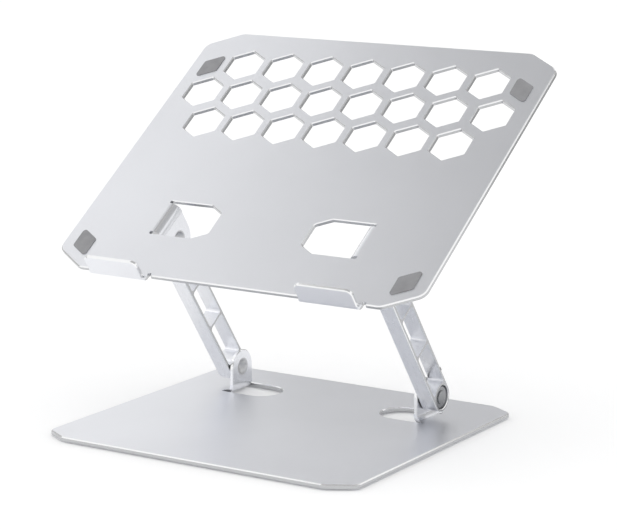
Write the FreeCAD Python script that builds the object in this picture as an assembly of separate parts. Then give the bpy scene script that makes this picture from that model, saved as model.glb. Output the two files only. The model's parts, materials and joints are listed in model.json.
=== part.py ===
"""Folding laptop stand: a base plate, two ladder arms and a tilting top plate.

Millimetres, +Z up, front edge towards -Y. The origin is the middle of the footprint on the floor.
Every part is built in place. Parts on the +X side are drawn, parts on the -X side are their mirrors.
"""
import FreeCAD, Part
import math
import os

os.makedirs("parts", exist_ok=True)
V = FreeCAD.Vector

# Sheet metal
SHEET = 2.5
BEND_R = 3.7
SLANT = 30.0
FOOT_PROUD = 1.2

# Base plate
BASE_W = 220.0
BASE_D = 204.0
BASE_CORNER_X = 17.0
BASE_CORNER_R = 6.0
EDGE_BEVEL = 0.7
MOUTH_BEVEL = 0.3

# Top plate, drawn flat: x across, y up the slope from the front edge, z = 0 at its top face
PLATE_W = 260.0
PLATE_D = 222.4
PLATE_CORNER_X = 23.0
PLATE_CORNER_R = 8.0
PLATE_TILT = 34.5

# Hexagon vents, three rows counted from the rear
VENT_ROWS = ((7, 0.0, 0.0), (8, -1.95, 2.0), (7, -0.5, 0.0))
VENT_SIDE_MARGIN = 9.7136
VENT_RIB = 5.55
VENT_ROW_PITCH = 27.906
VENT_REAR_MARGIN = 30.8
VENT_CORNER_R = 1.0

# Hinges
EAR_IN = 67.3
EAR_HOLE_R = 5.75
EAR_BEVEL = 0.45
LOWER_EAR_W = 22.3
LOWER_AXIS_INSET = 46.4
LOWER_AXIS_UP = 14.1
LOWER_CUT_GAP = 3.0
LOWER_CUT_REACH = 14.2
UPPER_EAR_W = 25.2
UPPER_AXIS_V = 48.9
UPPER_AXIS_DROP = 18.5
UPPER_CUT_GAP = 2.0
UPPER_CUT_IN = 33.5
UPPER_CUT_CORNER = 10.0
RELIEF = 0.7

# Arms
ARM_SPAN = 118.0
ARM_ANGLE = 54.0
ARM_WIDE = 11.0
ARM_DEEP = 18.0
ARM_FLANGE = 1.8
ARM_WEB = 2.0
ARM_BEVEL = 0.4
BOSS_R = 9.4
BORE_R = 7.5
RUNG_T = 1.6
RUNG_LOW = 43.5
RUNG_HIGH_DROP = 41.5
RUNG_FILLET = 2.0
BOSS_FILLET = 1.4

# Hinge hardware
JOURNAL_R = 4.0
RUN_GAP = 0.05
PRESS_GAP = 0.02
AXIAL_GAP = 0.1
WASHER_T = 0.6
WASHER_R = 8.6
CUP_DEEP = 2.6
CUP_R = 5.0
THREAD_R = 3.0
NUT_R = 6.9
NUT_T = 1.9
NUT_RECESS = 1.0
NUT_CROWN_R = 4.3
NUT_CROWN_T = 0.8
SPRING_T = 0.5
SPRING_RISE = 0.4

# Front hooks
HOOK_IN = 55.4
HOOK_OUT = 95.0
HOOK_UP = 14.5
HOOK_BEND_R = 2.0
HOOK_CORNER_R = 4.4
HOOK_BEVEL = 0.6
HOOK_NOTCH_W = 2.5
HOOK_NOTCH_D = 2.2

# Soft parts
PAD_T = 0.7
PAD_WIDE = 13.2
PAD_LONG = 15.2
PAD_CORNER_R = 1.9
PAD_SIDE_INSET = 15.5
PAD_FRONT_V = 20.1
PAD_REAR_INSET = 34.4
FOOT_R = 9.0
FOOT_INSET = 19.0
BUMPER_R = 3.0
BUMPER_T = 1.5
BUMPER_EDGE = 0.5
BUMPER_S = 15.3

# Derived positions
VENT_PITCH = (PLATE_W - 2 * VENT_SIDE_MARGIN) / max(count for count, shift, last_shift in VENT_ROWS)
RUNGS = (RUNG_LOW, ARM_SPAN - RUNG_HIGH_DROP)
EAR_OUT = EAR_IN + SHEET
BEND_X = EAR_OUT + BEND_R
ARM_IN = EAR_OUT + WASHER_T + AXIAL_GAP
ARM_OUT = ARM_IN + ARM_WIDE
BASE_TOP = FOOT_PROUD + SHEET
TILT = math.radians(PLATE_TILT)
LEAN = math.radians(ARM_ANGLE)
LOWER_Y = BASE_D / 2 - LOWER_AXIS_INSET
LOWER_Z = BASE_TOP + LOWER_AXIS_UP
UPPER_Y = LOWER_Y - ARM_SPAN * math.cos(LEAN)
UPPER_Z = LOWER_Z + ARM_SPAN * math.sin(LEAN)
PLATE_Y = UPPER_Y - UPPER_AXIS_V * math.cos(TILT) - UPPER_AXIS_DROP * math.sin(TILT)
PLATE_Z = UPPER_Z - UPPER_AXIS_V * math.sin(TILT) + UPPER_AXIS_DROP * math.cos(TILT)
PLATE_REAR_Y = PLATE_Y + PLATE_D * math.cos(TILT) + SHEET * math.sin(TILT)
CENTRE_Y = (PLATE_REAR_Y - BASE_D / 2) / 2


def flat(points, radii, z, height):
    """Prism standing on height z, from corners (x, y) that are each rounded by their own radius."""
    corners = []
    for i, (x, y) in enumerate(points):
        p = V(x, y, z)
        back = V(points[i - 1][0], points[i - 1][1], z).sub(p).normalize()
        ahead = V(points[(i + 1) % len(points)][0], points[(i + 1) % len(points)][1], z).sub(p).normalize()
        half = back.getAngle(ahead) / 2
        reach = radii[i] / math.tan(half)
        middle = (back + ahead).normalize() * (radii[i] / math.sin(half) - radii[i])
        corners.append((p + back * reach, p + middle, p + ahead * reach))
    edges = []
    for i, (start, middle, end) in enumerate(corners):
        if radii[i] > 0:
            edges.append(Part.Arc(start, middle, end).toShape())
        following = corners[(i + 1) % len(corners)][0]
        if end.distanceToPoint(following) > 1e-6:
            edges.append(Part.makeLine(end, following))
    return Part.Face(Part.Wire(edges)).extrude(V(0, 0, height))


def grown(points, by):
    """Corners of a convex outline, each side moved out by the same distance."""
    moved = []
    for i, (x, y) in enumerate(points):
        p = V(x, y, 0)
        back = V(points[i - 1][0], points[i - 1][1], 0).sub(p).normalize()
        ahead = V(points[(i + 1) % len(points)][0], points[(i + 1) % len(points)][1], 0).sub(p).normalize()
        out = p - (back + ahead).normalize() * (by / math.sin(back.getAngle(ahead) / 2))
        moved.append((out.x, out.y))
    return moved


def opening(points, radii):
    """Tool for an opening through the sheet, with a bevelled mouth at the top face, z = 0."""
    mouth = MOUTH_BEVEL + 0.2
    lip = flat(grown(points, mouth), [r + mouth if r else 0 for r in radii], -mouth, 2 * mouth)
    lip = bevelled(lip, mouth, lambda b: b.ZMax < -mouth + 0.01)
    return flat(points, radii, -2 * SHEET, 3 * SHEET).fuse(lip)


def block(x0, x1, y0, y1, z0, z1):
    return Part.makeBox(x1 - x0, y1 - y0, z1 - z0, V(x0, y0, z0))


def rod(radius, x0, x1):
    """Cylinder along +X on the hinge axis."""
    return Part.makeCylinder(radius, x1 - x0, V(x0, 0, 0), V(1, 0, 0))


def spun(points):
    """Solid turned about the X axis from corners (x, radius)."""
    loop = [V(x, r, 0) for x, r in points]
    face = Part.Face(Part.makePolygon(loop + loop[:1]))
    return face.revolve(V(0, 0, 0), V(1, 0, 0), 360)


def on_side(shape, x):
    """Turn a prism drawn in x, y so that it lies in y, z and is extruded along +X from x."""
    turned = shape.copy()
    turned.rotate(V(0, 0, 0), V(1, 1, 1), 120)
    turned.translate(V(x, 0, 0))
    return turned


def bevelled(shape, size, wanted):
    edges = [e for e in shape.Edges if wanted(e.BoundBox)]
    return shape.makeChamfer(size, edges)


def chamfer_outline(half_w, front, rear, corner_x):
    """Corners of a plate whose four corners are cut at the slant angle."""
    corner_y = corner_x * math.tan(math.radians(SLANT))
    right = [
        (half_w - corner_x, front),
        (half_w, front + corner_y),
        (half_w, rear - corner_y),
        (half_w - corner_x, rear),
    ]
    return right + [(-x, y) for x, y in reversed(right)]


def mirrored(shape):
    return shape.mirror(V(0, 0, 0), V(1, 0, 0))


def ear(width, up):
    """Ear bent up at the inner side of BEND_X from a sheet whose top is z = 0, hinge axis at z = up."""
    ring = Part.makeCylinder(BEND_R + SHEET, width, V(BEND_X, -width / 2, BEND_R), V(0, 1, 0))
    ring = ring.cut(Part.makeCylinder(BEND_R, width, V(BEND_X, -width / 2, BEND_R), V(0, 1, 0)))
    ring = ring.common(block(EAR_IN, BEND_X, -width / 2, width / 2, -SHEET, BEND_R))
    r = width / 2
    outline = [(-r, BEND_R), (r, BEND_R), (r, up + r), (-r, up + r)]
    tab = on_side(flat(outline, (0, 0, r, r), 0, SHEET), EAR_IN)
    tab = bevelled(tab, EAR_BEVEL, lambda b: b.XLength < 0.01 and b.ZLength > 1)
    hole = rod(EAR_HOLE_R, EAR_IN - 1, EAR_OUT + 1)
    hole.translate(V(0, 0, up))
    return ring.fuse(tab).cut(hole)


def ear_side(tool):
    """The part of an opening's tool on the ear's side of BEND_X."""
    box = tool.BoundBox
    return tool.common(block(box.XMin - 1, BEND_X, box.YMin - 1, box.YMax + 1, box.ZMin - 1, box.ZMax + 1))


def relief_slots(width, gap):
    """Openings beside an ear, past the start of its bend."""
    sides = []
    for side in (-1, 1):
        inner = side * width / 2
        outer = side * (width / 2 + gap)
        sides.append(block(BEND_X - 1, BEND_X + RELIEF, min(inner, outer), max(inner, outer), -2 * SHEET, SHEET))
    return sides[0].fuse(sides[1])


def base_plate():
    outline = chamfer_outline(BASE_W / 2, -BASE_D / 2, BASE_D / 2, BASE_CORNER_X)
    plate = flat(outline, [BASE_CORNER_R] * 8, -SHEET, SHEET)
    plate = bevelled(plate, EDGE_BEVEL, lambda b: b.ZMin > -0.01)
    half = LOWER_EAR_W / 2 + LOWER_CUT_GAP
    inner = EAR_IN - LOWER_CUT_REACH - half
    corners = [(inner, -half), (BEND_X, -half), (BEND_X, half), (inner, half)]
    slot = ear_side(opening(corners, (half - 0.001, 0, 0, half - 0.001)))
    cut = slot.fuse(relief_slots(LOWER_EAR_W, LOWER_CUT_GAP))
    lug = ear(LOWER_EAR_W, LOWER_AXIS_UP)
    for part in (cut, lug):
        part.translate(V(0, LOWER_Y, 0))
    plate = plate.cut(cut).cut(mirrored(cut))
    plate = plate.fuse([lug, mirrored(lug)]).removeSplitter()
    plate.translate(V(0, 0, BASE_TOP))
    return plate


def vents():
    """Hexagon prisms with a wider mouth at the top face, for every vent."""
    flats = VENT_PITCH - VENT_RIB
    tools = []
    for row, (count, shift, last_shift) in enumerate(VENT_ROWS):
        y = PLATE_D - VENT_REAR_MARGIN - row * VENT_ROW_PITCH
        for k in range(count):
            x = (k - (count - 1) / 2) * VENT_PITCH + shift
            if k == count - 1:
                x += last_shift
            tools.append(vent(x, y, flats))
    return tools


def vent(x, y, flats):
    radius = flats / 2 / math.cos(math.radians(30))
    around = [math.radians(30 + 60 * i) for i in range(6)]
    corners = [(x + radius * math.cos(a), y + radius * math.sin(a)) for a in around]
    return opening(corners, [VENT_CORNER_R] * 6)


def hook():
    """Front hook on the +X side, bent up from the front edge."""
    half = (HOOK_OUT - HOOK_IN) / 2
    face_y = -HOOK_BEND_R - SHEET
    ring = Part.makeCylinder(HOOK_BEND_R + SHEET, 2 * half, V(-half, 0, HOOK_BEND_R), V(1, 0, 0))
    ring = ring.cut(Part.makeCylinder(HOOK_BEND_R, 2 * half, V(-half, 0, HOOK_BEND_R), V(1, 0, 0)))
    ring = ring.common(block(-half, half, face_y, 0, -SHEET, HOOK_BEND_R))
    corners = [(-half, HOOK_BEND_R), (half, HOOK_BEND_R), (half, HOOK_UP), (-half, HOOK_UP)]
    lip = flat(corners, (0, 0, HOOK_CORNER_R, HOOK_CORNER_R), 0, SHEET)
    lip.rotate(V(0, 0, 0), V(1, 0, 0), 90)
    lip.translate(V(0, face_y + SHEET, 0))
    lip = bevelled(lip, HOOK_BEVEL, lambda b: b.YLength < 0.01 and b.ZMax > HOOK_BEND_R + 0.1)
    part = ring.fuse(lip)
    part.translate(V((HOOK_IN + HOOK_OUT) / 2, 0, 0))
    return part


def hook_notches():
    tools = []
    for x in (HOOK_IN - HOOK_NOTCH_W / 2, HOOK_OUT + HOOK_NOTCH_W / 2):
        half = HOOK_NOTCH_W / 2
        outline = [(x - half, -1), (x + half, -1), (x + half, HOOK_NOTCH_D), (x - half, HOOK_NOTCH_D)]
        tools.append(flat(outline, (0, 0, 0.9, 0.9), -SHEET - 1, SHEET + 2))
    return tools[0].fuse(tools[1])


def upper_window():
    half = UPPER_EAR_W / 2 + UPPER_CUT_GAP
    slope = UPPER_CUT_CORNER * math.tan(math.radians(SLANT))
    outline = [
        (UPPER_CUT_IN, -half + slope),
        (UPPER_CUT_IN + UPPER_CUT_CORNER, -half),
        (BEND_X, -half),
        (BEND_X, half),
        (UPPER_CUT_IN + UPPER_CUT_CORNER, half),
        (UPPER_CUT_IN, half - slope),
    ]
    window = ear_side(opening(outline, (2, 2, 0, 0, 2, 2)))
    return window.fuse(relief_slots(UPPER_EAR_W, UPPER_CUT_GAP))


def on_plate(shape):
    """Carry a shape from the flat drawing of the top plate to its tilted place."""
    placed = shape.copy()
    placed.rotate(V(0, 0, 0), V(1, 0, 0), PLATE_TILT)
    placed.translate(V(0, PLATE_Y, PLATE_Z))
    return placed


def top_plate():
    outline = chamfer_outline(PLATE_W / 2, 0, PLATE_D, PLATE_CORNER_X)
    plate = flat(outline, [PLATE_CORNER_R] * 8, -SHEET, SHEET)
    plate = bevelled(plate, EDGE_BEVEL, lambda b: b.ZMin > -0.01 and b.YMax > 0.1)
    lug = ear(UPPER_EAR_W, UPPER_AXIS_DROP - SHEET).mirror(V(0, 0, 0), V(0, 0, 1))
    lug.translate(V(0, UPPER_AXIS_V, -SHEET))
    window = upper_window()
    window.translate(V(0, UPPER_AXIS_V, 0))
    notches = hook_notches()
    cuts = vents() + [window, mirrored(window), notches, mirrored(notches)]
    front = hook()
    plate = plate.cut(cuts).fuse([lug, mirrored(lug), front, mirrored(front)]).removeSplitter()
    return on_plate(plate)


def is_cusp(edge):
    """Edge along X where a window of the arm meets a boss and a flange."""
    box = edge.BoundBox
    near_boss = min(abs(box.YMin), abs(box.YMin - ARM_SPAN)) < BOSS_R
    return box.YLength < 0.01 and box.ZLength < 0.01 and near_boss


def arm():
    """Ladder arm: y along the arm from the lower axis, z across it towards the front flange."""
    half = ARM_DEEP / 2
    inside = half - ARM_FLANGE
    ends = [(-half, -half), (ARM_SPAN + half, -half), (ARM_SPAN + half, half), (-half, half)]
    body = on_side(flat(ends, [half] * 4, 0, ARM_WIDE), ARM_IN)
    body = bevelled(body, ARM_BEVEL, lambda b: b.XLength < 0.01)
    r = RUNG_FILLET
    stops = (0, RUNGS[0] - RUNG_T / 2, RUNGS[0] + RUNG_T / 2, RUNGS[1] - RUNG_T / 2, RUNGS[1] + RUNG_T / 2, ARM_SPAN)
    rounding = ((0, r, r, 0), (r, r, r, r), (r, 0, 0, r))
    for cell in range(3):
        s0 = stops[2 * cell]
        s1 = stops[2 * cell + 1]
        corners = [(s0, -inside), (s1, -inside), (s1, inside), (s0, inside)]
        opening = on_side(flat(corners, rounding[cell], 0, ARM_WIDE + 2), ARM_IN - 1)
        for s in (0, ARM_SPAN):
            boss = rod(BOSS_R, ARM_IN - 2, ARM_OUT + 2)
            boss.translate(V(0, s, 0))
            opening = opening.cut(boss)
        sharp = [e for e in opening.Edges if is_cusp(e)]
        if sharp:
            opening = opening.makeFillet(BOSS_FILLET, sharp)
        body = body.cut(opening)
    for s in (0, ARM_SPAN):
        bore = rod(BORE_R, ARM_IN + ARM_WEB, ARM_OUT + 1)
        bore = bore.fuse(rod(JOURNAL_R + 6 * RUN_GAP, ARM_IN - 1, ARM_OUT))
        bore = bore.fuse(spun([
            (ARM_OUT - ARM_BEVEL, 0),
            (ARM_OUT - ARM_BEVEL, BORE_R),
            (ARM_OUT + 0.1, BORE_R + ARM_BEVEL + 0.1),
            (ARM_OUT + 0.1, 0),
        ]))
        bore.translate(V(0, s, 0))
        body = body.cut(bore)
    return body.removeSplitter()


def on_arm(shape):
    placed = shape.copy()
    placed.rotate(V(0, 0, 0), V(1, 0, 0), 180 - ARM_ANGLE)
    placed.translate(V(0, LOWER_Y, LOWER_Z))
    return placed


def bumper():
    x = ARM_OUT - BUMPER_EDGE - BUMPER_R
    pad = Part.makeCylinder(BUMPER_R, BUMPER_T, V(x, BUMPER_S, -ARM_DEEP / 2), V(0, 0, -1))
    return bevelled(pad, 0.25, lambda b: b.ZMax < -ARM_DEEP / 2 - BUMPER_T + 0.01)


def hinge_hardware():
    """Shaft, bush, thrust washer, disc spring and nut of one hinge, on the X axis."""
    shoulder = EAR_OUT + WASHER_T
    nut_out = ARM_OUT - NUT_RECESS
    nut_in = nut_out - NUT_T
    spring_in = nut_in - SPRING_T - SPRING_RISE
    head_r = EAR_HOLE_R - PRESS_GAP
    face = EAR_IN + AXIAL_GAP
    dish_r = (CUP_DEEP ** 2 + CUP_R ** 2) / (2 * CUP_DEEP)
    shaft = spun([
        (face, 0),
        (face, head_r),
        (shoulder, head_r),
        (shoulder, JOURNAL_R),
        (nut_in, JOURNAL_R),
        (nut_in, THREAD_R),
        (nut_out, THREAD_R),
        (nut_out, 0),
    ]).cut(Part.makeSphere(dish_r, V(face + CUP_DEEP - dish_r, 0, 0)))
    bush = rod(BORE_R - RUN_GAP, ARM_IN + ARM_WEB + AXIAL_GAP, spring_in - AXIAL_GAP)
    bush = bush.cut(rod(JOURNAL_R + RUN_GAP, ARM_IN, ARM_OUT))
    washer = rod(WASHER_R, EAR_OUT, shoulder).cut(rod(EAR_HOLE_R + RUN_GAP, EAR_IN, ARM_OUT))
    spring = spun([
        (spring_in, NUT_R),
        (spring_in + SPRING_T, NUT_R),
        (nut_in, JOURNAL_R + 2 * RUN_GAP),
        (nut_in - SPRING_T, JOURNAL_R + 2 * RUN_GAP),
    ])
    nut = spun([
        (nut_in, THREAD_R + RUN_GAP),
        (nut_in, NUT_R),
        (nut_out - 0.3, NUT_R),
        (nut_out, NUT_R - 0.3),
        (nut_out, NUT_CROWN_R),
        (nut_out + NUT_CROWN_T - 0.3, NUT_CROWN_R),
        (nut_out + NUT_CROWN_T, NUT_CROWN_R - 0.3),
        (nut_out + NUT_CROWN_T, 0),
        (nut_out + 0.05, 0),
        (nut_out + 0.05, THREAD_R + RUN_GAP),
    ])
    return {
        "shaft": shaft,
        "friction_bush": bush,
        "thrust_washer": washer,
        "disc_spring": spring,
        "lock_nut": nut,
    }


def platform_pad(rear):
    """Slanted pad on the +X side of the top plate, its ends parallel to the nearest cut corner."""
    x = PLATE_W / 2 - PAD_SIDE_INSET
    y = PLATE_D - PAD_REAR_INSET if rear else PAD_FRONT_V
    lift = PAD_WIDE / 2 * math.tan(math.radians(SLANT)) * (-1 if rear else 1)
    outline = [
        (x - PAD_WIDE / 2, y - PAD_LONG / 2 - lift),
        (x + PAD_WIDE / 2, y - PAD_LONG / 2 + lift),
        (x + PAD_WIDE / 2, y + PAD_LONG / 2 + lift),
        (x - PAD_WIDE / 2, y + PAD_LONG / 2 - lift),
    ]
    pad = flat(outline, [PAD_CORNER_R] * 4, 0, PAD_T)
    return on_plate(bevelled(pad, 0.2, lambda b: b.ZMin > PAD_T - 0.01))


def base_foot(end):
    y = end * (BASE_D / 2 - FOOT_INSET)
    foot = Part.makeCylinder(FOOT_R, FOOT_PROUD, V(BASE_W / 2 - FOOT_INSET, y, 0))
    return bevelled(foot, 0.3, lambda b: b.ZMax < 0.01)


def save(name, shape):
    placed = shape.copy()
    placed.translate(V(0, -CENTRE_Y, 0))
    solids = placed.Solids
    if len(solids) != 1 or not placed.isValid():
        raise RuntimeError("%s: %d solids, valid %s" % (name, len(solids), placed.isValid()))
    solids[0].exportStep("parts/%s.step" % name)
    print(name, round(solids[0].Volume, 1))


def save_pair(name, shape):
    save(name + "_right", shape)
    save(name + "_left", mirrored(shape))


save("base_plate", base_plate())
save("top_plate", top_plate())
save_pair("arm", on_arm(arm()))
save_pair("arm_bumper", on_arm(bumper()))
for name, piece in hinge_hardware().items():
    for level, y, z in (("lower", LOWER_Y, LOWER_Z), ("upper", UPPER_Y, UPPER_Z)):
        placed = piece.copy()
        placed.translate(V(0, y, z))
        save_pair("%s_%s" % (name, level), placed)
save_pair("platform_pad_front", platform_pad(False))
save_pair("platform_pad_rear", platform_pad(True))
save_pair("base_foot_front", base_foot(-1))
save_pair("base_foot_rear", base_foot(1))
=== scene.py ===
"""Folding laptop stand: finishes, soft parts, hinge fittings and studio for the fixed frame."""
import json
import math

import bmesh
import bpy
from mathutils import Matrix, Vector


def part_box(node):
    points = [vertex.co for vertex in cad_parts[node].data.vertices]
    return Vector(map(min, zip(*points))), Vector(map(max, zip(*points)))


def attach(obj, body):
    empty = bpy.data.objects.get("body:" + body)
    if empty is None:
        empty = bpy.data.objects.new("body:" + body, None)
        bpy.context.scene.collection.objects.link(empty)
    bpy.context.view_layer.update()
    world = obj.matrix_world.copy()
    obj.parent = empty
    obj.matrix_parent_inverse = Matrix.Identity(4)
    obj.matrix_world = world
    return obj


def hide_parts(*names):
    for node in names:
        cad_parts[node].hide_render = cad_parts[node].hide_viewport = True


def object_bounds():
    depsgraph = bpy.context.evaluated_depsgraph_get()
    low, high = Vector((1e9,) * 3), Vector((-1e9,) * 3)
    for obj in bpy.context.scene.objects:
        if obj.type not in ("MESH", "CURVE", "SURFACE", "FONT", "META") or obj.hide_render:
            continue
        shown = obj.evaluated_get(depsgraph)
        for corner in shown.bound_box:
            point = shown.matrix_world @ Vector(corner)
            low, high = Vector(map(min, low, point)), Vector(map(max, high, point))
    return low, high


bl_info = {
    "name": "Laptop Stand",
    "version": (1, 0, 0),
    "blender": (4, 5, 0),
    "location": "3D View > Sidebar > Laptop Stand",
    "description": "Finishes, soft parts and a white studio for a folding laptop stand",
    "category": "Object",
}

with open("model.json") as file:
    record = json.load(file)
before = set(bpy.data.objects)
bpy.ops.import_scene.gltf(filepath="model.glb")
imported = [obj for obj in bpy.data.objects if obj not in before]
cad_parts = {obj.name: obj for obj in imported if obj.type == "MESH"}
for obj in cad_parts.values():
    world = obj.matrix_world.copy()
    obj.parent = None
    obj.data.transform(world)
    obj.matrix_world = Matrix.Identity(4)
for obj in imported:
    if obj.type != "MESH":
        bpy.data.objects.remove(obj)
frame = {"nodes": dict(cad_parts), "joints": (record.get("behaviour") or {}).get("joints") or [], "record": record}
CAD_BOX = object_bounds()
MM = 0.001

LIFT_AXIS = Vector(next(j for j in frame["joints"] if j["name"] == "arm_lift")["pos_m"])
TILT_AXIS = Vector(next(j for j in frame["joints"] if j["name"] == "platform_tilt")["pos_m"])
REST = next(m for m in frame["record"]["mounts"] if m["name"] == "laptop_rest")
PLATE_UP = Vector(REST["axis"]).normalized()
PLATE_SLOPE = Vector((0.0, PLATE_UP.z, -PLATE_UP.y))
PAD_TOP = Vector(REST["pos_m"])
ARM_LINE = (TILT_AXIS - LIFT_AXIS).normalized()
ARM_REAR = Vector((0.0, ARM_LINE.z, -ARM_LINE.y))
SIDES = ("left", "right")
X_AXIS = Vector((1, 0, 0))

SHEET_THICK = 2.5 * MM
PAD_HEIGHT = 0.7 * MM
EAR_BEND = 3.7 * MM
HOOK_BEND = 2.0 * MM
HEIGHT_SLACK = 0.02 * MM
RING_PITCH = 0.22 * MM
PAD_SLANT = math.radians(30)
SHARP_ANGLE = math.radians(50)
LEAST_RADIUS = 0.15 * MM

# Pairs of inset in millimetres and share of the full height, from the foot to the top.
PAD_PROFILE = ((0.0, 0.0), (0.0, 0.6), (0.05, 0.79), (0.16, 0.93),
               (0.32, 0.99), (0.55, 1.0), (1.1, 0.95), (1.5, 0.95))
FOOT_PROFILE = ((0, 0), (0, 0.62), (0.1, 0.83), (0.35, 0.96),
                (0.8, 1), (2.0, 1), (2.4, 0.83), (3.2, 0.83))
BUMPER_PROFILE = ((0, 0), (0, 0.5), (0.06, 0.72), (0.25, 0.9), (0.6, 0.98), (1.2, 1.0), (2.2, 1.0))

POLYMER = (0.055, 0.055, 0.058)
TURNED_STEEL = (0.62, 0.625, 0.635)
DARK_NICKEL = (0.30, 0.305, 0.315)
SPRING_STEEL = (0.22, 0.22, 0.23)

FLOOR_HALF = 6.0
FLOOR_TONE = (0.96, 0.96, 0.96, 1)
FLOOR_GLOW = 0.09
CARD_ROUGHNESS = 0.9
LAMP_PLACE = (-1.3, -1.1, 0.9)
LAMP_TARGET = (0, 0, 0.11)
LAMP_SIZE = 0.7
LAMP_POWER = 1.6
OVERHEAD_TONE = 0.50
REAR_TONE = 0.47
SIDE_TONE = 0.52
SIDE_CARD_X = 1.3
CAMERA_AIM = (0.0102, 0.0042, 0.1009)
SENSOR_WIDTH = 36.0


class StandSettings(bpy.types.PropertyGroup):
    sheet_colour: bpy.props.FloatVectorProperty(
        name="Sheet colour", description="Anodised finish of the base and the platform",
        subtype="COLOR", size=3, min=0, max=1, default=(0.845, 0.855, 0.888))
    edge_colour: bpy.props.FloatVectorProperty(
        name="Cut edge colour", description="Diamond-cut bevels along the sheets and the arms",
        subtype="COLOR", size=3, min=0, max=1, default=(0.93, 0.935, 0.94))
    # Sheet side colour: darker than the sheet, partly the sawn finish and partly painted shade for the dark floor
    # that the sides reflect.
    wall_finish_and_shade_colour: bpy.props.FloatVectorProperty(
        name="Sheet side colour", description="Sawn thickness of the sheets under the bevel",
        subtype="COLOR", size=3, min=0, max=1, default=(0.55, 0.555, 0.565))
    arm_colour: bpy.props.FloatVectorProperty(
        name="Arm colour", description="Anodised finish of the ladder arms",
        subtype="COLOR", size=3, min=0, max=1, default=(0.89, 0.90, 0.93))
    # Arm side colour: darker than the arm, partly the sawn finish and partly painted shade for the dark
    # surroundings the side faces reflect.
    sawn_finish_and_shade_colour: bpy.props.FloatVectorProperty(
        name="Arm side colour", description="Sawn and milled side faces of the arms",
        subtype="COLOR", size=3, min=0, max=1, default=(0.48, 0.485, 0.495))
    pad_colour: bpy.props.FloatVectorProperty(
        name="Pad colour", description="Silicone pads on the platform",
        subtype="COLOR", size=3, min=0, max=1, default=(0.27, 0.27, 0.28))
    foot_colour: bpy.props.FloatVectorProperty(
        name="Foot colour", description="Rubber feet and arm bumpers",
        subtype="COLOR", size=3, min=0, max=1, default=(0.035, 0.035, 0.037))
    sheet_roughness: bpy.props.FloatProperty(
        name="Sheet roughness", description="Blur of reflections in the blasted sheet",
        subtype="FACTOR", min=0.05, max=1, default=0.40)
    bevel_depth: bpy.props.FloatProperty(
        name="Bevel depth", description="Height of the bright bevel around the sheets",
        subtype="DISTANCE", unit="LENGTH", min=0.0, default=0.72 * MM)
    pad_corner: bpy.props.FloatProperty(
        name="Pad corner radius", description="Rounding of a platform pad's corners",
        subtype="DISTANCE", unit="LENGTH", min=0.0, default=1.9 * MM)
    pad_length: bpy.props.FloatProperty(
        name="Pad length", description="Length of a platform pad's straight sides, up the slope",
        subtype="DISTANCE", unit="LENGTH", min=0.0, default=15.2 * MM)
    pad_height: bpy.props.FloatProperty(
        name="Pad height", description="How far a platform pad stands on the sheet",
        subtype="DISTANCE", unit="LENGTH", min=0.0, default=PAD_HEIGHT)
    bumper_height: bpy.props.FloatProperty(
        name="Bumper height", description="How far a bumper stands on the arm's rear face",
        subtype="DISTANCE", unit="LENGTH", min=0.0, default=1.5 * MM)
    camera_azimuth: bpy.props.FloatProperty(
        name="Camera azimuth", description="Turn of the camera from straight in front towards the right",
        subtype="ANGLE", default=math.radians(32.33))
    camera_elevation: bpy.props.FloatProperty(
        name="Camera elevation", description="Height of the camera above the level view",
        subtype="ANGLE", default=math.radians(11.57))
    camera_distance: bpy.props.FloatProperty(
        name="Camera distance", description="From the camera to the point it looks at",
        subtype="DISTANCE", unit="LENGTH", default=1.4762)
    camera_lens: bpy.props.FloatProperty(
        name="Focal length", description="Lens for a 36 mm wide sensor", default=140.6)


def settings():
    return bpy.context.scene.laptop_stand


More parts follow.
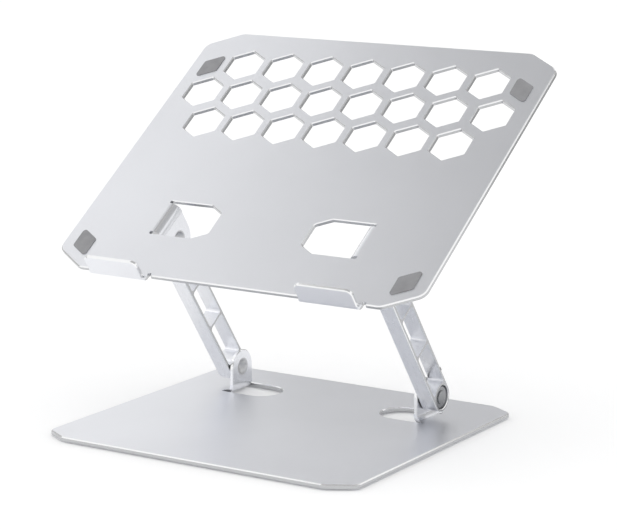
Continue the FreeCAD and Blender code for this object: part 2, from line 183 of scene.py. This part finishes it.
class Nodes:
    """Short hand for wiring one material."""

    def __init__(self, name):
        self.material = bpy.data.materials.new(name)
        self.material.use_nodes = True
        self.tree = self.material.node_tree
        self.shader = self.tree.nodes["Principled BSDF"]

    def add(self, kind, **values):
        node = self.tree.nodes.new(kind)
        for key, value in values.items():
            setattr(node, key, value)
        return node

    def put(self, value, socket):
        if isinstance(value, bpy.types.NodeSocket):
            self.tree.links.new(value, socket)
        else:
            socket.default_value = value

    def math(self, operation, a, b=0.0, clamp=False):
        node = self.add("ShaderNodeMath", operation=operation, use_clamp=clamp)
        self.put(a, node.inputs[0])
        self.put(b, node.inputs[1])
        return node.outputs[0]

    def dot(self, vector, direction):
        node = self.add("ShaderNodeVectorMath", operation="DOT_PRODUCT")
        self.put(vector, node.inputs[0])
        node.inputs[1].default_value = direction
        return node.outputs["Value"]

    def noise(self, vector, scale, detail=2.0, roughness=0.5):
        node = self.add("ShaderNodeTexNoise")
        self.put(vector, node.inputs["Vector"])
        node.inputs["Scale"].default_value = scale
        node.inputs["Detail"].default_value = detail
        node.inputs["Roughness"].default_value = roughness
        return node.outputs["Fac"]

    def spread(self, value, low, high, to_low, to_high):
        node = self.add("ShaderNodeMapRange")
        self.put(value, node.inputs["Value"])
        ends = {"From Min": low, "From Max": high, "To Min": to_low, "To Max": to_high}
        for name, number in ends.items():
            node.inputs[name].default_value = number
        return node.outputs["Result"]

    def swing(self, noise, low, high):
        """Stretch the usual range of a noise from low to high."""
        return self.spread(noise, 0.3, 0.7, low, high)

    def mottled(self, noise, colour, darker, lighter):
        return self.blend(self.swing(noise, 0.0, 1.0), shade(colour, darker), shade(colour, lighter))

    def blend(self, factor, a, b):
        node = self.add("ShaderNodeMix", data_type="RGBA")
        self.put(factor, node.inputs["Factor"])
        for value, socket in ((a, node.inputs[6]), (b, node.inputs[7])):
            if isinstance(value, bpy.types.NodeSocket):
                self.tree.links.new(value, socket)
            else:
                socket.default_value = (*value, 1.0)
        return node.outputs[2]

    def bump(self, height, strength, distance):
        node = self.add("ShaderNodeBump")
        node.inputs["Strength"].default_value = strength
        node.inputs["Distance"].default_value = distance
        self.put(height, node.inputs["Height"])
        return node.outputs["Normal"]

    def between(self, value, low, high):
        above = self.math("GREATER_THAN", value, low)
        below = self.math("LESS_THAN", value, high)
        return self.math("MULTIPLY", above, below)


def shade(colour, factor):
    return tuple(min(1.0, c * factor) for c in colour)


def blasted_sheet(name, up, top_height, thin, bend):
    """Blasted sheet with bright-cut bevels and, above a bend, bright rims across thin."""
    s = settings()
    n = Nodes(name)
    where = n.add("ShaderNodeTexCoord")
    facing = n.dot(where.outputs["Normal"], up)
    height = n.dot(where.outputs["Object"], up)
    outline = n.math("MULTIPLY", n.between(facing, 0.45, 0.93),
                     n.between(height, top_height - s.bevel_depth, top_height + HEIGHT_SLACK))
    rim = n.math("MULTIPLY", n.between(n.dot(where.outputs["Normal"], thin), -0.9, 0.9),
                 n.math("GREATER_THAN", height, top_height + bend + 0.2 * MM))
    bevel = n.math("MAXIMUM", outline, rim)
    cloud = n.noise(where.outputs["Object"], 9.0, 3.0)
    grain = n.noise(where.outputs["Object"], 3200.0, 2.0, 0.7)
    base = n.mottled(cloud, s.sheet_colour, 0.975, 1.02)
    specks = n.spread(grain, 0.35, 0.65, 0.0, 0.10)
    fine = n.blend(specks, base, shade(s.sheet_colour, 0.8))
    # Faces within the sheet's thickness take the side colour: partly sawn finish, partly painted shade of dark
    # reflections.
    wall = n.math("MULTIPLY", n.between(facing, -0.2, 0.2),
                  n.between(height, top_height - SHEET_THICK - HEIGHT_SLACK,
                            top_height - s.bevel_depth))
    sheet = n.blend(wall, fine, s.wall_finish_and_shade_colour)
    n.put(n.blend(bevel, sheet, s.edge_colour), n.shader.inputs["Base Color"])
    n.shader.inputs["Metallic"].default_value = 1.0
    blur = n.swing(grain, s.sheet_roughness - 0.03, s.sheet_roughness + 0.04)
    aslant = n.between(facing, -0.97, 0.97)
    cut_polish = n.math("MULTIPLY", bevel, 0.24)
    bend_polish = n.math("MULTIPLY", aslant, 0.16)
    polish = n.math("MAXIMUM", cut_polish, bend_polish)
    n.put(n.math("SUBTRACT", blur, polish, True), n.shader.inputs["Roughness"])
    n.put(n.bump(grain, 0.12, 0.03 * MM), n.shader.inputs["Normal"])
    return n.material


def ladder_metal(name):
    """Satin extrusion with darker side faces, partly a sawn finish and partly painted shade of dark reflections,
    and a bright bevel between the two.
    """
    s = settings()
    n = Nodes(name)
    where = n.add("ShaderNodeTexCoord")
    sideways = n.math("ABSOLUTE", n.dot(where.outputs["Normal"], X_AXIS))
    sawn_and_shaded_faces = n.math("GREATER_THAN", sideways, 0.9)
    bevel = n.between(sideways, 0.5, 0.9)
    along = n.dot(where.outputs["Object"], ARM_LINE)
    lines = n.add("ShaderNodeCombineXYZ")
    n.put(n.math("MULTIPLY", along, 0.04), lines.inputs[0])
    n.put(n.dot(where.outputs["Object"], ARM_REAR), lines.inputs[1])
    n.put(n.dot(where.outputs["Object"], X_AXIS), lines.inputs[2])
    drawn = n.noise(lines.outputs[0], 2600.0, 2.0, 0.6)
    grain = n.noise(where.outputs["Object"], 3000.0, 2.0, 0.7)
    satin = n.mottled(drawn, s.arm_colour, 0.975, 1.01)
    # Side faces take the darker side colour: partly sawn finish, partly painted shade of dark reflections.
    side = n.mottled(grain, s.sawn_finish_and_shade_colour, 0.88, 1.1)
    metal = n.blend(sawn_and_shaded_faces, satin, side)
    n.put(n.blend(bevel, metal, s.edge_colour), n.shader.inputs["Base Color"])
    n.shader.inputs["Metallic"].default_value = 0.85
    blur = n.swing(drawn, 0.27, 0.31)
    polish = n.math("MULTIPLY", bevel, -0.10)
    n.put(n.math("ADD", blur, polish, True), n.shader.inputs["Roughness"])
    n.put(n.bump(grain, 0.05, 0.02 * MM), n.shader.inputs["Normal"])
    return n.material


def turned_metal(name, axis, colour, roughness):
    """Metal turned on a lathe about a hinge axis, with fine rings."""
    n = Nodes(name)
    where = n.add("ShaderNodeTexCoord")
    split = n.add("ShaderNodeSeparateXYZ")
    n.put(where.outputs["Object"], split.inputs[0])
    y = n.math("SUBTRACT", split.outputs[1], axis.y)
    z = n.math("SUBTRACT", split.outputs[2], axis.z)
    squares = n.math("ADD", n.math("MULTIPLY", y, y), n.math("MULTIPLY", z, z))
    radius = n.math("SQRT", squares)
    rings = n.math("SINE", n.math("MULTIPLY", radius, 2 * math.pi / RING_PITCH))
    dirt = n.noise(where.outputs["Object"], 2200.0, 3.0)
    n.put(n.mottled(dirt, colour, 0.95, 1.04), n.shader.inputs["Base Color"])
    n.shader.inputs["Metallic"].default_value = 1.0
    n.put(n.swing(dirt, roughness - 0.02, roughness + 0.03), n.shader.inputs["Roughness"])
    n.put(n.bump(rings, 0.03, 0.01 * MM), n.shader.inputs["Normal"])
    return n.material


def silicone(name, colour, roughness):
    """Matte moulded silicone or rubber with a fine stipple."""
    n = Nodes(name)
    where = n.add("ShaderNodeTexCoord")
    stipple = n.noise(where.outputs["Object"], 2400.0, 3.0, 0.65)
    bloom = n.noise(where.outputs["Object"], 160.0, 3.0)
    tone = n.mottled(bloom, colour, 0.92, 1.08)
    specks = n.spread(stipple, 0.4, 0.7, 0.0, 0.25)
    n.put(n.blend(specks, tone, shade(colour, 1.35)), n.shader.inputs["Base Color"])
    n.put(n.swing(stipple, roughness - 0.06, roughness + 0.08), n.shader.inputs["Roughness"])
    n.shader.inputs["Specular IOR Level"].default_value = 0.35
    n.put(n.bump(stipple, 0.25, 0.04 * MM), n.shader.inputs["Normal"])
    return n.material


def moulded_polymer(name, colour):
    """Dark moulded bearing polymer."""
    n = Nodes(name)
    where = n.add("ShaderNodeTexCoord")
    grain = n.noise(where.outputs["Object"], 1800.0, 3.0)
    n.put(n.mottled(grain, colour, 0.85, 1.2), n.shader.inputs["Base Color"])
    n.put(n.swing(grain, 0.42, 0.55), n.shader.inputs["Roughness"])
    n.put(n.bump(grain, 0.15, 0.03 * MM), n.shader.inputs["Normal"])
    return n.material


def finish_node(node, material):
    obj = frame["nodes"][node]
    if not obj.material_slots:
        obj.data.materials.append(material)
    for slot in obj.material_slots:
        slot.material = material


def loft(name, rings, material):
    """Closed skin through rings of equal length, with a flat cap at each end."""
    mesh = bmesh.new()
    loops = [[mesh.verts.new(p) for p in ring] for ring in rings]
    count = len(loops[0])
    for low, high in zip(loops, loops[1:]):
        for i in range(count):
            j = (i + 1) % count
            mesh.faces.new((low[i], low[j], high[j], high[i]))
    mesh.faces.new(list(reversed(loops[0])))
    mesh.faces.new(loops[-1])
    bmesh.ops.recalc_face_normals(mesh, faces=mesh.faces)
    data = bpy.data.meshes.new(name)
    mesh.to_mesh(data)
    mesh.free()
    data.shade_smooth()
    data.set_sharp_from_angle(angle=SHARP_ANGLE)
    data.materials.append(material)
    obj = bpy.data.objects.new(name, data)
    bpy.context.scene.collection.objects.link(obj)
    return obj


def rounded_outline(corners, inset, radius, steps=8):
    """Corner polygon, counter-clockwise, moved in by inset and rounded."""
    points = []
    count = len(corners)
    r = max(radius - inset, LEAST_RADIUS)
    for i, corner in enumerate(corners):
        back = (corners[i - 1] - corner).normalized()
        ahead = (corners[(i + 1) % count] - corner).normalized()
        half = math.acos(max(-1.0, min(1.0, back.dot(ahead)))) / 2
        middle = (back + ahead).normalized()
        centre = corner + middle * ((inset + r) / math.sin(half))
        turn = math.pi - 2 * half
        begin = math.atan2(-middle.y, -middle.x) - turn / 2
        for k in range(steps + 1):
            a = begin + turn * k / steps
            points.append(centre + Vector((math.cos(a), math.sin(a))) * r)
    return points


def slanted_pad(name, node, rear, right, material):
    """Moulded pad with a soft shoulder, standing on the platform."""
    s = settings()
    low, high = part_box(node)
    centre = (low + high) / 2
    half_w = (high.x - low.x) / 2
    lift = half_w * math.tan(PAD_SLANT) * (-1 if rear else 1) * (1 if right else -1)
    half_l = s.pad_length / 2
    foot = centre - PLATE_UP * (s.pad_height / 2)
    corners = [Vector((-half_w, -half_l - lift)), Vector((half_w, -half_l + lift)),
               Vector((half_w, half_l + lift)), Vector((-half_w, half_l - lift))]
    rings = []
    for inset, up in PAD_PROFILE:
        outline = rounded_outline(corners, inset * MM, s.pad_corner)
        rise = PLATE_UP * (up * s.pad_height)
        rings.append([foot + X_AXIS * p.x + PLATE_SLOPE * p.y + rise for p in outline])
    return loft(name, rings, material)


def round_pad(name, centre, across, along, out, radius, height, shape, material, steps=56):
    """Round moulded pad that stands out from centre by height."""
    rings = []
    for inset, up in shape:
        ring = []
        for k in range(steps):
            a = 2 * math.pi * k / steps
            spoke = across * math.cos(a) + along * math.sin(a)
            ring.append(centre + spoke * (radius - inset * MM) + out * (up * height))
        rings.append(ring)
    return loft(name, rings, material)


class OBJECT_OT_stand_sheets(bpy.types.Operator):
    """Finish the base and the platform in blasted, anodised sheet with bright bevels"""
    bl_idname = "object.stand_sheets"
    bl_label = "Sheets"

    def execute(self, context):
        base_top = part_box("base_foot_front_right")[1].z + SHEET_THICK
        plate_top = PAD_TOP.dot(PLATE_UP) - PAD_HEIGHT
        base = blasted_sheet("base_sheet", Vector((0, 0, 1)), base_top, X_AXIS, EAR_BEND)
        platform = blasted_sheet("platform_sheet", PLATE_UP, plate_top, PLATE_SLOPE, HOOK_BEND)
        finish_node("base_plate", base)
        finish_node("top_plate", platform)
        return {"FINISHED"}


class OBJECT_OT_stand_arms(bpy.types.Operator):
    """Finish the two ladder arms"""
    bl_idname = "object.stand_arms"
    bl_label = "Arms"

    def execute(self, context):
        metal = ladder_metal("ladder_extrusion")
        for side in SIDES:
            finish_node("arm_" + side, metal)
        return {"FINISHED"}


class OBJECT_OT_stand_hinges(bpy.types.Operator):
    """Finish the shafts, nuts, springs, bushes and washers of the four hinges"""
    bl_idname = "object.stand_hinges"
    bl_label = "Hinges"

    def execute(self, context):
        polymer = moulded_polymer("bearing_polymer", POLYMER)
        for level, axis in (("lower", LIFT_AXIS), ("upper", TILT_AXIS)):
            steel = turned_metal("turned_steel_" + level, axis, TURNED_STEEL, 0.34)
            nickel = turned_metal("dark_nickel_" + level, axis, DARK_NICKEL, 0.24)
            dark = turned_metal("spring_steel_" + level, axis, SPRING_STEEL, 0.32)
            for side in SIDES:
                finish_node("shaft_%s_%s" % (level, side), steel)
                finish_node("lock_nut_%s_%s" % (level, side), nickel)
                finish_node("disc_spring_%s_%s" % (level, side), dark)
                finish_node("friction_bush_%s_%s" % (level, side), polymer)
                finish_node("thrust_washer_%s_%s" % (level, side), polymer)
        return {"FINISHED"}


class OBJECT_OT_stand_pads(bpy.types.Operator):
    """Build the four slanted silicone pads on the platform"""
    bl_idname = "object.stand_pads"
    bl_label = "Platform pads"

    def execute(self, context):
        rubber = silicone("grey_silicone", settings().pad_colour, 0.62)
        for end in ("front", "rear"):
            for side in SIDES:
                node = "platform_pad_%s_%s" % (end, side)
                pad = slanted_pad("silicone_pad_%s_%s" % (end, side), node,
                                  end == "rear", side == "right", rubber)
                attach(pad, "platform")
                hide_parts(node)
        return {"FINISHED"}


class OBJECT_OT_stand_feet(bpy.types.Operator):
    """Build the rubber feet and the bumpers behind the arms"""
    bl_idname = "object.stand_feet"
    bl_label = "Feet and bumpers"

    def execute(self, context):
        rubber = silicone("dark_rubber", settings().foot_colour, 0.7)
        for end in ("front", "rear"):
            for side in SIDES:
                node = "base_foot_%s_%s" % (end, side)
                low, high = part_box(node)
                top = Vector(((low.x + high.x) / 2, (low.y + high.y) / 2, high.z))
                foot = round_pad("rubber_foot_%s_%s" % (end, side), top, X_AXIS,
                                 Vector((0, -1, 0)), Vector((0, 0, -1)),
                                 (high.x - low.x) / 2, high.z - low.z, FOOT_PROFILE, rubber)
                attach(foot, "base")
                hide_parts(node)
        for side in SIDES:
            node = "arm_bumper_" + side
            low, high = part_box(node)
            rise = settings().bumper_height
            centre = (low + high) / 2 - ARM_REAR * (rise / 2)
            pad = round_pad("rubber_bumper_" + side, centre, X_AXIS, ARM_LINE, ARM_REAR,
                            (high.x - low.x) / 2, rise, BUMPER_PROFILE, rubber)
            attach(pad, side + "_arm")
            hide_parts(node)
        return {"FINISHED"}


def white_world():
    world = bpy.data.worlds.new("white_studio")
    world.use_nodes = True
    sky = world.node_tree.nodes["Background"]
    sky.inputs["Color"].default_value = (1, 1, 1, 1)
    sky.inputs["Strength"].default_value = 1.0
    bpy.context.scene.world = world


def white_floor():
    data = bpy.data.meshes.new("studio_floor")
    size = FLOOR_HALF
    corners = [(-size, -size, 0), (size, -size, 0), (size, size, 0), (-size, size, 0)]
    data.from_pydata(corners, [], [(0, 1, 2, 3)])
    floor = bpy.data.objects.new("studio_floor", data)
    floor.location.z = CAD_BOX[0][2] - HEIGHT_SLACK
    bpy.context.scene.collection.objects.link(floor)
    n = Nodes("floor_paint")
    n.shader.inputs["Base Color"].default_value = FLOOR_TONE
    n.shader.inputs["Roughness"].default_value = 0.9
    n.shader.inputs["Specular IOR Level"].default_value = 0.1
    paths = n.add("ShaderNodeLightPath")
    seen = n.math("MAXIMUM", paths.outputs["Is Camera Ray"], paths.outputs["Is Glossy Ray"])
    seen = n.math("MAXIMUM", seen, paths.outputs["Is Transmission Ray"])
    glow = n.add("ShaderNodeEmission")
    glow.inputs["Color"].default_value = (1, 1, 1, 1)
    n.put(n.math("MULTIPLY", seen, FLOOR_GLOW), glow.inputs["Strength"])
    both = n.add("ShaderNodeAddShader")
    n.tree.links.new(n.shader.outputs[0], both.inputs[0])
    n.tree.links.new(glow.outputs[0], both.inputs[1])
    out = n.tree.nodes["Material Output"]
    n.tree.links.new(both.outputs[0], out.inputs["Surface"])
    data.materials.append(n.material)


def grey_card(name, corners, tone):
    """Matte card around the stand that only shows in the metal's reflections."""
    data = bpy.data.meshes.new(name)
    data.from_pydata(corners, [], [(0, 1, 2, 3)])
    card = bpy.data.objects.new(name, data)
    bpy.context.scene.collection.objects.link(card)
    n = Nodes(name + "_paint")
    n.shader.inputs["Base Color"].default_value = (tone, tone, tone, 1)
    n.shader.inputs["Roughness"].default_value = CARD_ROUGHNESS
    data.materials.append(n.material)
    card.visible_camera = False
    card.visible_diffuse = False
    card.visible_shadow = False


def aimed(obj, place, target):
    obj.location = place
    obj.rotation_euler = (Vector(target) - Vector(place)).to_track_quat("-Z", "Y").to_euler()


def soft_lamp(name, place, target, width, height, power):
    data = bpy.data.lights.new(name, "AREA")
    data.shape = "RECTANGLE"
    data.size = width
    data.size_y = height
    data.energy = power
    lamp = bpy.data.objects.new(name, data)
    bpy.context.scene.collection.objects.link(lamp)
    aimed(lamp, place, target)


class OBJECT_OT_stand_stage(bpy.types.Operator):
    """Lay the white studio: world, floor, lamps and camera"""
    bl_idname = "object.stand_stage"
    bl_label = "Studio"

    def execute(self, context):
        s = settings()
        white_world()
        white_floor()
        soft_lamp("softbox_left", LAMP_PLACE, LAMP_TARGET, LAMP_SIZE, LAMP_SIZE, LAMP_POWER)
        over = [(-0.40, -0.52, 0.85), (0.65, -0.52, 0.85), (0.65, 0.9, 0.85), (-0.40, 0.9, 0.85)]
        grey_card("overhead_card", over, OVERHEAD_TONE)
        behind = [(-0.56, 0.75, 0.0), (-0.56, 0.75, 0.42), (0.7, 0.75, 0.42), (0.7, 0.75, 0.0)]
        grey_card("rear_card", behind, REAR_TONE)
        for side, x in (("left", -SIDE_CARD_X), ("right", SIDE_CARD_X)):
            beside = [(x, -0.9, 0.02), (x, 0.9, 0.02), (x, 0.9, 0.6), (x, -0.9, 0.6)]
            grey_card("side_card_" + side, beside, SIDE_TONE)
        data = bpy.data.cameras.new("studio_camera")
        data.sensor_width = SENSOR_WIDTH
        data.lens = s.camera_lens
        data.clip_start = 0.05
        data.clip_end = 50.0
        camera = bpy.data.objects.new("studio_camera", data)
        bpy.context.scene.collection.objects.link(camera)
        a, e = s.camera_azimuth, s.camera_elevation
        back = Vector((math.sin(a) * math.cos(e), -math.cos(a) * math.cos(e), math.sin(e)))
        right = Vector((math.cos(a), math.sin(a), 0))
        up = back.cross(right)
        turn = Matrix((right, up, back)).transposed().to_4x4()
        camera.matrix_world = Matrix.Translation(Vector(CAMERA_AIM) + back * s.camera_distance) @ turn
        context.scene.camera = camera
        context.scene.view_settings.view_transform = "Standard"
        return {"FINISHED"}


OPERATORS = (
    OBJECT_OT_stand_stage,
    OBJECT_OT_stand_sheets,
    OBJECT_OT_stand_arms,
    OBJECT_OT_stand_hinges,
    OBJECT_OT_stand_pads,
    OBJECT_OT_stand_feet,
)


class VIEW3D_PT_stand(bpy.types.Panel):
    bl_label = "Laptop Stand"
    bl_idname = "VIEW3D_PT_stand"
    bl_space_type = "VIEW_3D"
    bl_region_type = "UI"
    bl_category = "Laptop Stand"

    def draw(self, context):
        for name in StandSettings.__annotations__:
            self.layout.prop(context.scene.laptop_stand, name)
        for operator in OPERATORS:
            self.layout.operator(operator.bl_idname)


CLASSES = (StandSettings, *OPERATORS, VIEW3D_PT_stand)


def register():
    for cls in CLASSES:
        bpy.utils.register_class(cls)
    bpy.types.Scene.laptop_stand = bpy.props.PointerProperty(type=StandSettings)


def unregister():
    del bpy.types.Scene.laptop_stand
    for cls in reversed(CLASSES):
        bpy.utils.unregister_class(cls)


def main():
    register()
    bpy.ops.object.stand_stage()
    bpy.ops.object.stand_sheets()
    bpy.ops.object.stand_arms()
    bpy.ops.object.stand_hinges()
    bpy.ops.object.stand_pads()
    bpy.ops.object.stand_feet()


if __name__ == "__main__":
    main()
